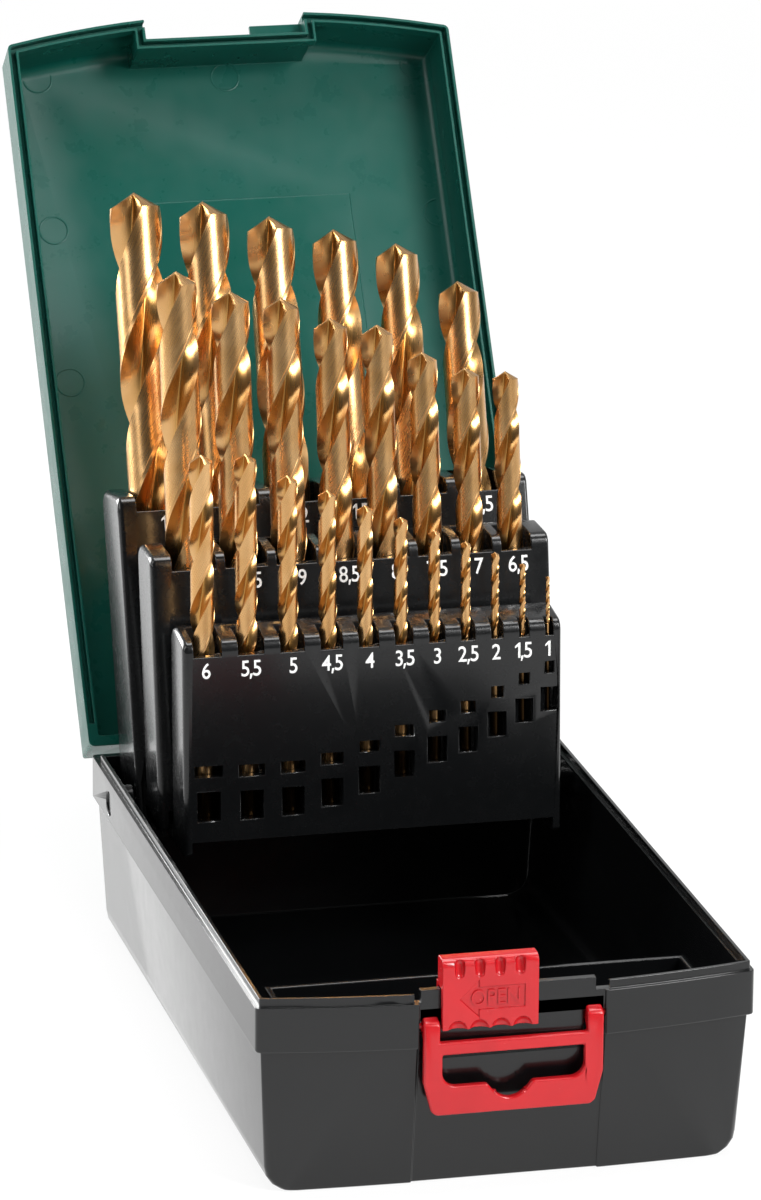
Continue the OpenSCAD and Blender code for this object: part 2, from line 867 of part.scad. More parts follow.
case_base();
lid();
lid_hinge_pin_left();
lid_hinge_pin_right();
rack_front();
rack_middle();
rack_back();
rack_pivot_pin_left();
rack_pivot_pin_right();
latch_slider();
hang_tab();
drill_bit_13();
drill_bit_12_5();
drill_bit_12();
drill_bit_11_5();
drill_bit_11();
drill_bit_10_5();
drill_bit_10();
drill_bit_9_5();
drill_bit_9();
drill_bit_8_5();
drill_bit_8();
drill_bit_7_5();
drill_bit_7();
drill_bit_6_5();
drill_bit_6();
drill_bit_5_5();
drill_bit_5();
drill_bit_4_5();
drill_bit_4();
drill_bit_3_5();
drill_bit_3();
drill_bit_2_5();
drill_bit_2();
drill_bit_1_5();
drill_bit_1();
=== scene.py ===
"""Looks of a drill bit case that stands open with its three racks raised.

Every length below is in millimetres unless a name says metres; the frame and
the finished pieces are in metres, in the CAD's own axes: X right, Y to the
back, Z up.
"""

import math

import bmesh
import bpy
import numpy as np
from mathutils import Matrix


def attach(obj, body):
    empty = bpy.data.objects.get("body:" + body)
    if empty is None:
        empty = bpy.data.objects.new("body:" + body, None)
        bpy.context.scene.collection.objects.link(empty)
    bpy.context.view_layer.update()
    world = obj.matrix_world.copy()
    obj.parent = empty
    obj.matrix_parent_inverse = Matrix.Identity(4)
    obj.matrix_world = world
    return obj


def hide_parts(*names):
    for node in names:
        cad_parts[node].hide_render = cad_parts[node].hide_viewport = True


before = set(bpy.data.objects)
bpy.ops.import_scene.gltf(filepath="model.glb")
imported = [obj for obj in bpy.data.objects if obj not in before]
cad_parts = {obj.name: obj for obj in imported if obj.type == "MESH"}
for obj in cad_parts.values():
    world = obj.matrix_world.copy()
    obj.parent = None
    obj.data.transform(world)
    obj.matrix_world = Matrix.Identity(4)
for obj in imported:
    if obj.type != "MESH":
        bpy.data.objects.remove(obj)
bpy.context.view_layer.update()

bl_info = {
    "name": "Drill bit case",
    "version": (1, 0, 0),
    "blender": (4, 5, 0),
    "location": "3D View > Sidebar > Drill case",
    "description": "Dresses the packed drill bit case and lights it",
    "category": "Object",
}

MM = 0.001

# ---- sizes repeated from the part's source ----------------------------------

HINGE_Y, HINGE_Z, OPEN_ANGLE = 96.2, 46.0, 123.2
BASE_H, LID_H, LID_T = 46.0, 18.5, 2.0
PIVOT_Y, PIVOT_Z = 73.0, 40.0
LEANS = (2.2, 9.3, 18.0)
RACK_W = (95.2, 101.2, 105.4)
RACK_FRONT = (-37.4, -22.0, -5.2)
RACK_TOP = (47.7, 61.5, 73.4)
ROW_INSET = (1.2, 1.2, 12.2)
ROW_SHARE = (0.8, 0.8, 0.0)
ROW_X = (-41.37, -39.65, -40.9)
ROW_GAP = (5.1, 3.45, 4.65)
LARGEST = (6.0, 10.0, 13.0)
LENGTHS = (
    (93, 93, 86, 80, 75, 70, 61, 57, 49, 40, 34),
    (133, 125, 125, 117, 117, 109, 105, 101),
    (151, 151, 151, 142, 142, 133),
)
FLUTES = (
    (57, 57, 52, 47, 43, 39, 33, 30, 24, 18, 12),
    (87, 81, 81, 75, 75, 69, 69, 63),
    (101, 101, 101, 94, 94, 87),
)
SEATS = (
    (2.9, 2.6, 3.7, 5.5, 6.2, 7.8, 13.1, 13.8, 18.7, 24.6, 27.0),
    (0.3, 2.8, 0.5, 2.9, 0.6, 1.3, 0.8, 3.4),
    (1.6, -1.5, -6.1, -1.2, -5.6, -7.0),
)
RACKS = ("rack_front", "rack_middle", "rack_back")
RACK_BODIES = ("front_rack", "middle_rack", "back_rack")
LATCH_FACE = -101.0
# Middle of the word on the latch, and how far its plane is behind the face
WORD_X, WORD_Z, WORD_SINK = -4.4, 46.9, 0.4
# Rings inside the lid: X and distance from the hinge
EJECTOR_MARKS = ((-48.9, 187.0), (1.1, 185.2), (52.5, 186.0),
                 (-49.3, 145.1), (53.7, 144.6), (-49.6, 103.4))
RING_RADIUS, RING_HALF_WIDTH, RING_RISE = 3.7, 0.25, 0.12
RING_STEPS, SECTION_STEPS = 48, 8
# Middle of each printed number from the middle of its rack
NUMBER_X = (
    (-41.8, -30.6, -20.05, -10.3, -0.85, 8.0, 16.2, 24.0, 31.1, 38.0, 44.2),
    (-38.6, -25.3, -12.5, -0.6, 11.3, 21.8, 32.5, 42.6),
    (-40.1, -22.9, -6.2, 8.3, 25.0, 40.0),
)


# ---- placing ----------------------------------------------------------------


def raised(rack, points):
    """Rack frame to the object's: leant back about the pivot, in metres."""
    lean = math.radians(LEANS[rack])
    x, y, z = np.moveaxis(np.asarray(points, float), -1, 0)
    back = PIVOT_Y + y * math.cos(lean) + z * math.sin(lean)
    up = PIVOT_Z - y * math.sin(lean) + z * math.cos(lean)
    return np.stack([x, back, up], axis=-1) * MM


def opened(points):
    """Shut lid's frame to the open lid's, about the hinge, in metres."""
    turn = math.radians(OPEN_ANGLE)
    x, y, z = np.moveaxis(np.asarray(points, float), -1, 0)
    out, up = y - HINGE_Y, z - HINGE_Z
    back = HINGE_Y + out * math.cos(turn) + up * math.sin(turn)
    rise = HINGE_Z - out * math.sin(turn) + up * math.cos(turn)
    return np.stack([x, back, rise], axis=-1) * MM


def shut_height(metres):
    """Height a point of the open lid has once the lid is shut, millimetres."""
    turn = math.radians(OPEN_ANGLE)
    _, y, z = np.moveaxis(np.asarray(metres, float) / MM, -1, 0)
    return (HINGE_Z + (y - HINGE_Y) * math.sin(turn)
            + (z - HINGE_Z) * math.cos(turn))


def upright(rack, metres):
    """The object's frame back to the rack's own, in millimetres."""
    lean = math.radians(LEANS[rack])
    x, y, z = np.moveaxis(np.asarray(metres, float) / MM, -1, 0)
    out, up = y - PIVOT_Y, z - PIVOT_Z
    return np.stack(
        [
            x,
            out * math.cos(lean) - up * math.sin(lean),
            out * math.sin(lean) + up * math.cos(lean),
        ],
        axis=-1,
    )


def bit_sizes(rack):
    """Diameters of one rack's bits, each half a millimetre under the last."""
    return LARGEST[rack] - 0.5 * np.arange(len(LENGTHS[rack]))


def bit_depths(rack):
    """Y of each bit in its rack: a fixed inset plus a share of its size."""
    return (RACK_FRONT[rack] + ROW_INSET[rack]
            + ROW_SHARE[rack] * bit_sizes(rack))


def bit_places(rack):
    """X of each bit: the row's start plus the gaps and diameters before it."""
    size = bit_sizes(rack)
    step = ROW_GAP[rack] + (size[:-1] + size[1:]) / 2
    return ROW_X[rack] + np.concatenate([[0.0], np.cumsum(step)])


# ---- meshes -----------------------------------------------------------------


def mesh_of(name, points, corners, totals, uv=None, amount=None):
    """Mesh from arrays: points, all faces' corners, number of corners each."""
    mesh = bpy.data.meshes.new(name)
    mesh.vertices.add(len(points))
    mesh.vertices.foreach_set("co", np.ravel(points).astype(np.float32))
    mesh.loops.add(len(corners))
    mesh.loops.foreach_set("vertex_index", np.asarray(corners, np.int32))
    mesh.polygons.add(len(totals))
    starts = np.concatenate([[0], np.cumsum(totals)[:-1]])
    mesh.polygons.foreach_set("loop_start", starts.astype(np.int32))
    mesh.update(calc_edges=True)
    if uv is not None:
        layer = mesh.uv_layers.new(name="turned")
        layer.data.foreach_set("uv", np.ravel(uv).astype(np.float32))
    if amount is not None:
        field = mesh.attributes.new("flute", "FLOAT", "POINT")
        field.data.foreach_set("value", np.ravel(amount).astype(np.float32))
    if mesh.validate():
        raise RuntimeError(name + ": the mesh had faces that were mended")
    return mesh


def wrapped(rings, columns):
    """Faces of a grid closed round its columns, with a pole at either end.

    Corner k of quad (i, j) is one of (i, j), (i, j+1), (i+1, j+1), (i+1, j);
    the poles are the two points after the grid's own.
    """
    i, j = np.meshgrid(np.arange(rings - 1), np.arange(columns), indexing="ij")
    k = (j + 1) % columns
    quads = np.stack([i * columns + j, i * columns + k,
                      (i + 1) * columns + k, (i + 1) * columns + j], -1)
    c = np.arange(columns)
    d = (c + 1) % columns
    low, high = rings * columns, rings * columns + 1
    top = (rings - 1) * columns
    fans = np.concatenate([
        np.stack([np.full(columns, low), d, c], -1),
        np.stack([np.full(columns, high), top + c, top + d], -1)])
    corners = np.concatenate([quads.ravel(), fans.ravel()])
    totals = np.concatenate([np.full(quads[..., 0].size, 4),
                             np.full(len(fans), 3)])
    return corners, totals


def looped(rings, columns):
    """Faces of a grid closed both ways, rings along it, columns round it."""
    i, j = np.meshgrid(np.arange(rings), np.arange(columns), indexing="ij")
    n, k = (i + 1) % rings, (j + 1) % columns
    quads = np.stack([i * columns + j, i * columns + k,
                      n * columns + k, n * columns + j], -1)
    return quads.ravel(), np.full(quads[..., 0].size, 4)


def wrapped_uv(u, v):
    """Corner UVs for wrapped(): u and v have one column more than the grid."""
    quad = np.stack([
        np.stack([u[:-1, :-1], v[:-1, :-1]], -1),
        np.stack([u[:-1, 1:], v[:-1, 1:]], -1),
        np.stack([u[1:, 1:], v[1:, 1:]], -1),
        np.stack([u[1:, :-1], v[1:, :-1]], -1)], -2).reshape(-1, 2)
    fans = []
    for row, order in ((0, (1, 0)), (-1, (0, 1))):
        ends = (np.stack([u[row, :-1], v[row, :-1]], -1),
                np.stack([u[row, 1:], v[row, 1:]], -1))
        pole = (ends[0] + ends[1]) / 2
        fans.append(np.stack([pole, ends[order[0]], ends[order[1]]],
                             -2).reshape(-1, 2))
    return np.concatenate([quad] + fans)


def joined(parts):
    """Several (points, corners, totals) as one."""
    shift = np.cumsum([0] + [len(p[0]) for p in parts[:-1]])
    return (np.concatenate([p[0] for p in parts]),
            np.concatenate([p[1] + s for p, s in zip(parts, shift)]),
            np.concatenate([p[2] for p in parts]))


def placed(name, mesh, body, finish, replaces=()):
    """The piece as an object that rides its body and wears its finish."""
    obj = bpy.data.objects.new(name, mesh)
    bpy.context.scene.collection.objects.link(obj)
    mesh.materials.clear()
    mesh.materials.append(finish)
    mesh.shade_smooth()
    mesh.set_sharp_from_angle(angle=math.radians(35))
    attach(obj, body)
    if replaces:
        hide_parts(*replaces)
    return obj


def edge_facts(mesh):
    """Angle between the faces at each edge, and the edge's middle.

    The corners are sorted by edge, so an edge's two faces lie side by side.
    """
    edge = np.empty(len(mesh.loops), np.int32)
    mesh.loops.foreach_get("edge_index", edge)
    total = np.empty(len(mesh.polygons), np.int32)
    mesh.polygons.foreach_get("loop_total", total)
    normal = np.empty(3 * len(mesh.polygons), np.float32)
    mesh.polygons.foreach_get("normal", normal)
    normal = normal.reshape(-1, 3)
    face = np.repeat(np.arange(len(total)), total)
    order = np.argsort(edge, kind="stable")
    count = np.bincount(edge, minlength=len(mesh.edges))
    first = np.concatenate([[0], np.cumsum(count)[:-1]])
    whole = count == 2
    a = face[order[first[whole]]]
    b = face[order[first[whole] + 1]]
    turn = np.zeros(len(mesh.edges))
    turn[whole] = np.arccos(np.clip((normal[a] * normal[b]).sum(1), -1, 1))
    point = np.empty(3 * len(mesh.vertices), np.float32)
    mesh.vertices.foreach_get("co", point)
    point = point.reshape(-1, 3)
    ends = np.empty(2 * len(mesh.edges), np.int32)
    mesh.edges.foreach_get("vertices", ends)
    ends = ends.reshape(-1, 2)
    return turn, (point[ends[:, 0]] + point[ends[:, 1]]) / 2


def moulded(node, name, body, finish, radius, segments=3, sharp=35):
    """A CAD node's copy with its edges rounded, standing for the node.

    radius(middles in metres) gives each edge's radius in millimetres; edges
    under the sharp angle stay as they are and are shaded smooth.
    """
    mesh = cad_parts[node].data.copy()
    mesh.name = name
    solid = bmesh.new()
    solid.from_mesh(mesh)
    bmesh.ops.remove_doubles(solid, verts=solid.verts, dist=2e-6)
    bmesh.ops.dissolve_limit(solid, angle_limit=math.radians(0.6),
                             verts=solid.verts, edges=solid.edges)
    solid.to_mesh(mesh)
    solid.free()
    turn, middle = edge_facts(mesh)
    size = np.where(turn > math.radians(sharp), radius(middle), 0.0)
    widest = max(float(size.max()), 0.01)
    weight = mesh.attributes.new("bevel_weight_edge", "FLOAT", "EDGE")
    weight.data.foreach_set("value", (size / widest).astype(np.float32))
    obj = placed(name, mesh, body, finish, (node,))
    round_over = obj.modifiers.new("rounded edges", "BEVEL")
    round_over.limit_method = "WEIGHT"
    round_over.width = widest * MM
    round_over.segments = segments
    round_over.use_clamp_overlap = False
    round_over.harden_normals = True
    return obj


def lettering(text, height, narrow, weight, depth):
    """Letters as a thin solid: x right, y up, z out, centred, millimetres.

    The outline is set at one size, made a mesh, then scaled to its height.
    """
    curve = bpy.data.curves.new("lettering", "FONT")
    curve.body = text
    curve.offset = weight
    curve.extrude = 0.5
    holder = bpy.data.objects.new("lettering", curve)
    bpy.context.scene.collection.objects.link(holder)
    graph = bpy.context.evaluated_depsgraph_get()
    mesh = bpy.data.meshes.new_from_object(holder.evaluated_get(graph))
    point = np.empty(3 * len(mesh.vertices), np.float32)
    mesh.vertices.foreach_get("co", point)
    corner = np.empty(len(mesh.loops), np.int32)
    mesh.loops.foreach_get("vertex_index", corner)
    total = np.empty(len(mesh.polygons), np.int32)
    mesh.polygons.foreach_get("loop_total", total)
    bpy.data.objects.remove(holder)
    bpy.data.curves.remove(curve)
    bpy.data.meshes.remove(mesh)
    if not len(total):
        raise RuntimeError("the lettering " + text + " came out empty")
    point = point.reshape(-1, 3).astype(float)
    scale = height / point[:, 1].max()
    x = (point[:, 0] - (point[:, 0].min() + point[:, 0].max()) / 2)
    placed_at = np.stack([x * scale * narrow, point[:, 1] * scale - height / 2,
                          point[:, 2] * depth], -1)
    return placed_at, corner, total


# ---- materials --------------------------------------------------------------


def linear(code):
    """sRGB hex colour as linear RGBA."""
    v = np.array([int(code[i:i + 2], 16) for i in (1, 3, 5)]) / 255
    low, high = v / 12.92, ((v + 0.055) / 1.055) ** 2.4
    return (*np.where(v <= 0.04045, low, high).tolist(), 1.0)


def add(tree, kind, settings=(), **inputs):
    """Adds one node. Inputs go by name, or i0, i1 by number; each is a value
    or the socket that feeds it."""
    made = tree.nodes.new(kind)
    for key, value in dict(settings).items():
        setattr(made, key, value)
    for key, value in inputs.items():
        numbered = key[0] == "i" and key[1:].isdigit()
        socket = made.inputs[int(key[1:]) if numbered
                             else key.replace("_", " ")]
        if isinstance(value, bpy.types.NodeSocket):
            tree.links.new(value, socket)
        else:
            socket.default_value = value
    return made


def per(size):
    """Texture scale on Object coordinates for a feature of that many mm."""
    return 1 / (size * MM)


def blank(name):
    """An empty material and its tree."""
    made = bpy.data.materials.new(name)
    made.use_nodes = True
    made.node_tree.nodes.clear()
    return made, made.node_tree


def moulded_plastic(name, colour, deep, rough, spread, grain, grain_depth,
                    flow, wave_depth, film=0.0, ior=1.5):
    """Injection-moulded plastic, as it leaves a polished or sparked mould.

    Slow flow marks shift the colour a little, a finer field shifts the gloss,
    the mould's grain is a shallow bump, and a slow waviness bends reflections
    as sink marks do on real walls. A clear film, from 0 to 1, as mould
    release leaves, reflects a second time and shows most at a low angle.
    grain and flow are sizes in mm.
    """
    made, tree = blank(name)
    at = add(tree, "ShaderNodeTexCoord").outputs["Object"]
    flow_field = add(tree, "ShaderNodeTexNoise", Vector=at, Scale=per(flow),
                     Detail=3.0, Roughness=0.55, Distortion=0.6)
    tint = add(tree, "ShaderNodeMapRange", Value=flow_field.outputs[0],
               From_Min=0.3, From_Max=0.7, To_Min=0.0, To_Max=0.5)
    body = add(tree, "ShaderNodeMix", {"data_type": "RGBA"},
               i0=tint.outputs[0], i6=linear(colour), i7=linear(deep))
    gloss_field = add(tree, "ShaderNodeTexNoise", Vector=at,
                      Scale=per(flow / 7), Detail=4.0, Roughness=0.6)
    gloss = add(tree, "ShaderNodeMapRange", Value=gloss_field.outputs[0],
                From_Min=0.25, From_Max=0.75, To_Min=rough - spread,
                To_Max=rough + spread)
    wave = add(tree, "ShaderNodeTexNoise", Vector=at, Scale=per(14.0),
               Detail=1.0)
    swell = add(tree, "ShaderNodeBump", Strength=1.0,
                Distance=wave_depth * MM, Height=wave.outputs[0])
    texture = add(tree, "ShaderNodeTexNoise", Vector=at, Scale=per(grain),
                  Detail=2.0, Roughness=0.5)
    bump = add(tree, "ShaderNodeBump", Strength=1.0,
               Distance=grain_depth * MM, Height=texture.outputs[0],
               Normal=swell.outputs[0])
    shader = add(tree, "ShaderNodeBsdfPrincipled", Base_Color=body.outputs[2],
                 Roughness=gloss.outputs[0], IOR=ior, Coat_Weight=film,
                 Coat_IOR=ior, Coat_Roughness=rough / 2,
                 Normal=bump.outputs[0])
    add(tree, "ShaderNodeOutputMaterial", Surface=shader.outputs[0])
    return made


def coated_gold(name, colour, deep, flute_shade_colour):
    """High speed steel with a vapour-deposited titanium nitride coat.

    The eye gets a warm gold mirror, cloudy in tint along each bit, with soft
    grinding streaks along it; the flutes are painted a browner gold, most in
    the middle of each flute, as painted shade. The real lines are about 0.05
    mm apart, too fine to show, so they are drawn 0.5 mm apart. The end of the
    shank, which sits inside the rack and shows in its windows, is painted dark
    brown as painted shade, fading out from 10 to 22 mm up the bit.
    """
    made, tree = blank(name)
    at = add(tree, "ShaderNodeTexCoord").outputs["Object"]
    turned = add(tree, "ShaderNodeUVMap", {"uv_map": "turned"}).outputs[0]
    flute = add(tree, "ShaderNodeAttribute",
                {"attribute_name": "flute"}).outputs["Fac"]
    cloud = add(tree, "ShaderNodeTexNoise", Vector=at, Scale=per(9.0),
                Detail=2.0)
    cloudy = add(tree, "ShaderNodeMapRange", Value=cloud.outputs[0],
                 From_Min=0.35, From_Max=0.65)
    coat = add(tree, "ShaderNodeMix", {"data_type": "RGBA"},
               i0=cloudy.outputs[0], i6=linear(colour), i7=linear(deep))
    # Painted shade: the flutes are made a browner gold, most in the middle of
    # each flute
    tint = add(tree, "ShaderNodeMix", {"data_type": "RGBA"}, i0=flute,
               i6=coat.outputs[2], i7=linear(flute_shade_colour))
    height = add(tree, "ShaderNodeSeparateXYZ", Vector=turned).outputs["Y"]
    # Painted shade: the shank's end inside the rack is made dark brown, fading
    # out from 10 to 22 mm up the bit
    out_of_shade = add(tree, "ShaderNodeMapRange", Value=height, From_Min=10.0,
                From_Max=22.0)
    with_painted_shank_shade = add(tree, "ShaderNodeMix", {"data_type": "RGBA"},
                  i0=out_of_shade.outputs[0], i6=linear("#2c1f10"),
                  i7=tint.outputs[2])
    lines = add(
        tree, "ShaderNodeTexNoise", Scale=1.0, Detail=2.0,
        Vector=add(tree, "ShaderNodeMapping", Vector=turned,
                   Scale=(1 / 0.5, 1 / 9.0, 1.0)).outputs[0])
    rough = add(tree, "ShaderNodeMapRange", Value=lines.outputs[0],
                From_Min=0.25, From_Max=0.75, To_Min=0.24, To_Max=0.31)
    bump = add(tree, "ShaderNodeBump", Strength=1.0, Distance=0.0005 * MM,
               Height=lines.outputs[0])
    shader = add(tree, "ShaderNodeBsdfPrincipled",
                 Base_Color=with_painted_shank_shade.outputs[2], Metallic=1.0,
                 Roughness=rough.outputs[0], Normal=bump.outputs[0])
    add(tree, "ShaderNodeOutputMaterial", Surface=shader.outputs[0])
    return made


def drawn_steel(name, colour, deep):
    """Steel wire, cold drawn: long faint die lines along X, a grey mirror."""
    made, tree = blank(name)
    at = add(tree, "ShaderNodeTexCoord").outputs["Object"]
    along = add(tree, "ShaderNodeMapping", Vector=at,
                Scale=(per(12.0), per(0.3), per(0.3)))
    lines = add(tree, "ShaderNodeTexNoise", Vector=along.outputs[0],
                Scale=1.0, Detail=2.0)
    body = add(tree, "ShaderNodeMix", {"data_type": "RGBA"},
               i0=lines.outputs[0], i6=linear(colour), i7=linear(deep))
    rough = add(tree, "ShaderNodeMapRange", Value=lines.outputs[0],
                From_Min=0.3, From_Max=0.7, To_Min=0.22, To_Max=0.36)
    bump = add(tree, "ShaderNodeBump", Strength=1.0, Distance=0.004 * MM,
               Height=lines.outputs[0])
    shader = add(tree, "ShaderNodeBsdfPrincipled", Base_Color=body.outputs[2],
                 Metallic=1.0, Roughness=rough.outputs[0],
                 Normal=bump.outputs[0])
    add(tree, "ShaderNodeOutputMaterial", Surface=shader.outputs[0])
    return made


def printed_ink(name, colour, worn):
    """White ink, pad printed: matt, slightly thin where the pad lifted."""
    made, tree = blank(name)
    at = add(tree, "ShaderNodeTexCoord").outputs["Object"]
    thin = add(tree, "ShaderNodeTexNoise", Vector=at, Scale=per(0.7),
               Detail=3.0)
    cover = add(tree, "ShaderNodeMapRange", Value=thin.outputs[0],
                From_Min=0.55, From_Max=0.8)
    ink = add(tree, "ShaderNodeMix", {"data_type": "RGBA"},
              i0=cover.outputs[0], i6=linear(colour), i7=linear(worn))
    rough = add(tree, "ShaderNodeMapRange", Value=thin.outputs[0],
                To_Min=0.45, To_Max=0.6)
    shader = add(tree, "ShaderNodeBsdfPrincipled", Base_Color=ink.outputs[2],
                 Roughness=rough.outputs[0], IOR=1.5)
    add(tree, "ShaderNodeOutputMaterial", Surface=shader.outputs[0])
    return made


def finish(name):
    """The object's materials, each made the first time it is asked for."""
    if name in bpy.data.materials:
        return bpy.data.materials[name]
    colour = bpy.context.scene.case_colours
    if name == "abs_black_moulded":
        # ABS from a fine-sparked mould: deep black, satin, a soft sheen.
        return moulded_plastic(name, colour.case, "#070809", rough=0.22,
                               spread=0.04, grain=0.45, grain_depth=0.003,
                               flow=30.0, wave_depth=0.02, film=1.0, ior=1.34)
    if name == "polypropylene_black_moulded":
        # Polypropylene: a touch greyer and glossier, with slight sink marks.
        return moulded_plastic(name, colour.rack, "#090a0b", rough=0.26,
                               spread=0.05, grain=0.6, grain_depth=0.004,
                               flow=22.0, wave_depth=0.03, film=1.0, ior=1.34)
    if name == "polypropylene_green_moulded":
        # Dyed polypropylene from a polished mould: cloudy deep green, glossy.
        return moulded_plastic(name, colour.lid, colour.lid_deep, rough=0.3,
                               spread=0.06, grain=0.7, grain_depth=0.004,
                               flow=48.0, wave_depth=0.03, ior=1.33)
    if name == "abs_red_moulded":
        # ABS in signal red: even colour, glossy, crisp highlights on edges.
        return moulded_plastic(name, colour.latch, "#a00e16", rough=0.24,
                               spread=0.04, grain=0.6, grain_depth=0.004,
                               flow=12.0, wave_depth=0.015)
    if name == "titanium_nitride_on_steel":
        return coated_gold(name, colour.bit, colour.bit_deep,
                           colour.bit_flute_shade)
    if name == "steel_wire_drawn":
        return drawn_steel(name, "#b4b6b8", "#8e9093")
    if name == "ink_white_pad_printed":
        return printed_ink(name, "#f4f4f2", "#cfd0d0")
    raise RuntimeError("no finish is named " + name)


# ---- drill bits -------------------------------------------------------------


def bit_grid(d, length, fluted, form):
    """Twist drill as a grid: columns go round it, rings go from shank to tip.

    In the frame that turns with the helix the section repeats every half
    turn. From the heel at angle 0 the land runs at the relieved radius up to
    the margin, which is at the full radius and ends in the leading edge; then
    comes the flute, deepest nearer to the lip than to the heel:
    radius = 1 - (1 - web) sin(pi s ^ skew) ^ fullness, with s from 0 to 1
    across it. Flute and relief fade in over the run-out above the shank as a
    quarter circle, the web thickens towards the shank, and every point turns
    by 360 degrees times its height over the lead, counted from the lips, so
    that all the tips face alike. The flutes reach up to the cone of the
    point, z = length - r / tan(half the point angle) less a relief that
    grows behind each lip; the cap's rings shrink to the tip on that cone.
    """
    r = d / 2
    half_point = math.tan(math.radians(form.point_angle / 2))
    tip = r / half_point
    start = length - fluted
    lead = form.lead * d
    land = math.radians(form.land_angle)
    margin = math.radians(form.margin_angle)
    n_flute, n_land = 17, 9
    run_out = form.run_out * d

    # rings: shank, run-out, body, then up to the cone
    chamfer = min(0.5, 0.12 * d)
    shank = np.array([0.0, chamfer, start * 0.5, start])
    turn_step = lead * form.ring_step / 360
    body = np.arange(start, length - tip, turn_step)[1:]
    fine = start + run_out * (1 - np.cos(np.linspace(0.12, 1, 7)
                                         * math.pi / 2))
    body = np.union1d(body, fine)
    body = body[body < length - tip - 0.3 * turn_step]
    height = np.concatenate([shank, body, [length - tip]])[:, None]
    grow = np.clip((height - start) / run_out, 0, 1)
    grow = np.sqrt(1 - (1 - grow) ** 2)

    # one half turn of the section on every ring
    open_half = (math.pi - land) / 2 * np.sqrt(grow)
    middle = land + (math.pi - land) / 2
    t = np.linspace(0, math.pi, n_flute)[None, :]
    flute_angle = middle - open_half * np.cos(t)
    web = form.web_tip + (form.web_shank - form.web_tip) \
        * np.clip((length - height) / fluted, 0, 1)
    depth = (1 - web) * grow
    flute_r = 1 - depth * np.sin(math.pi * (t / math.pi) ** form.skew) \
        ** form.flute_power
    heel = middle + open_half - math.pi
    lip = middle - open_half
    s = np.linspace(0, 1, n_land)[None, :-1][:, 1:]
    edge = lip - margin
    land_angle = heel + (edge - heel) * s
    land_r = 1 - form.relief * grow + 0 * land_angle
    rim = 1 + 0 * height
    angle = np.concatenate([heel, land_angle, edge, edge + margin * 0.12,
                            flute_angle[:, :-1]], 1)
    radius = np.concatenate([rim * (1 - form.relief * grow), land_r,
                             1 - form.relief * grow, rim,
                             flute_r[:, :-1]], 1)
    in_flute = np.concatenate([0 * heel, 0 * land_angle, 0 * edge, 0 * edge,
                               np.sin(t[:, :-1]) * grow], 1)
    behind = np.concatenate([
        lip - heel, lip - land_angle, lip - edge, lip - edge,
        (lip - heel) * np.linspace(0, 1, n_flute)[None, :-1] + 0 * lip], 1)
    angle = np.concatenate([angle, angle + math.pi], 1)
    radius = np.concatenate([radius, radius], 1) * r
    in_flute = np.concatenate([in_flute, in_flute], 1)
    behind = np.concatenate([behind, behind], 1)
    radius[0] -= chamfer

    # up to the cone, then in to the tip
    def cone(size):
        return length - size / half_point - form.lip_relief * size \
            * behind[-1:] * (1 - size / (1.6 * r))

    climb = np.linspace(0, 1, 6)[1:, None]
    top = cone(radius[-1:])
    up_z = height[-1] + climb * (top - height[-1])
    shrink = np.linspace(1, 0, 7)[1:-1, None]
    in_r = radius[-1:] * shrink
    z = np.concatenate([height + 0 * radius, up_z, cone(in_r)])
    radius = np.concatenate([radius, radius[-1:] + 0 * up_z, in_r])
    angle = np.concatenate([angle, angle[-1:] + 0 * up_z,
                            angle[-1:] + 0 * in_r])
    in_flute = np.concatenate([in_flute, in_flute[-1:] + 0 * up_z,
                               0 * in_r])
    twist = (np.maximum(z, start) - length + tip) * 2 * math.pi / lead \
        + math.radians(form.lips_at) - land
    twist[-len(in_r):] = twist[-len(in_r) - 1]
    points = np.stack([radius * np.cos(angle + twist),
                       radius * np.sin(angle + twist), z], -1)
    around = np.concatenate([angle, angle[:, :1] + 2 * math.pi], 1) * r
    tall = np.concatenate([z, z[:, :1]], 1)
    return points, around, tall, in_flute


def bit_mesh(name, rack, i, form):
    """One twist drill, standing on its seat in its rack."""
    d = float(bit_sizes(rack)[i])
    grid, around, tall, in_flute = bit_grid(
        d, LENGTHS[rack][i], FLUTES[rack][i], form)
    rings, columns = grid.shape[:2]
    ends = np.array([[0, 0, 0], [0, 0, LENGTHS[rack][i]]], float)
    points = np.concatenate([grid.reshape(-1, 3), ends])
    points += [bit_places(rack)[i], bit_depths(rack)[i], SEATS[rack][i]]
    corners, totals = wrapped(rings, columns)
    return mesh_of(name, raised(rack, points), corners, totals,
                   wrapped_uv(around, tall),
                   np.concatenate([in_flute.ravel(), [0, 0]]))


# Outlines for a letter height of 1: a one with a flag, and a slanted comma
ONE = ((0.2, 0.0), (0.34, 0.0), (0.34, 1.0), (0.24, 1.0), (0.0, 0.78),
       (0.0, 0.64), (0.2, 0.78))
COMMA = ((0.02, -0.2), (0.11, -0.2), (0.22, 0.14), (0.06, 0.14))


def prism(outline, thick):
    """A flat outline made a solid: x right, y up, z out, round z = 0."""
    flat = np.asarray(outline, float)
    n = len(flat)
    point = np.concatenate([np.insert(flat, 2, thick / 2, axis=1),
                            np.insert(flat, 2, -thick / 2, axis=1)])
    a = np.arange(n)
    b = (a + 1) % n
    sides = np.stack([a, a + n, b + n, b], -1)
    corner = np.concatenate([a, a[::-1] + n, sides.ravel()])
    return point, corner, np.concatenate([[n, n], np.full(n, 4)])


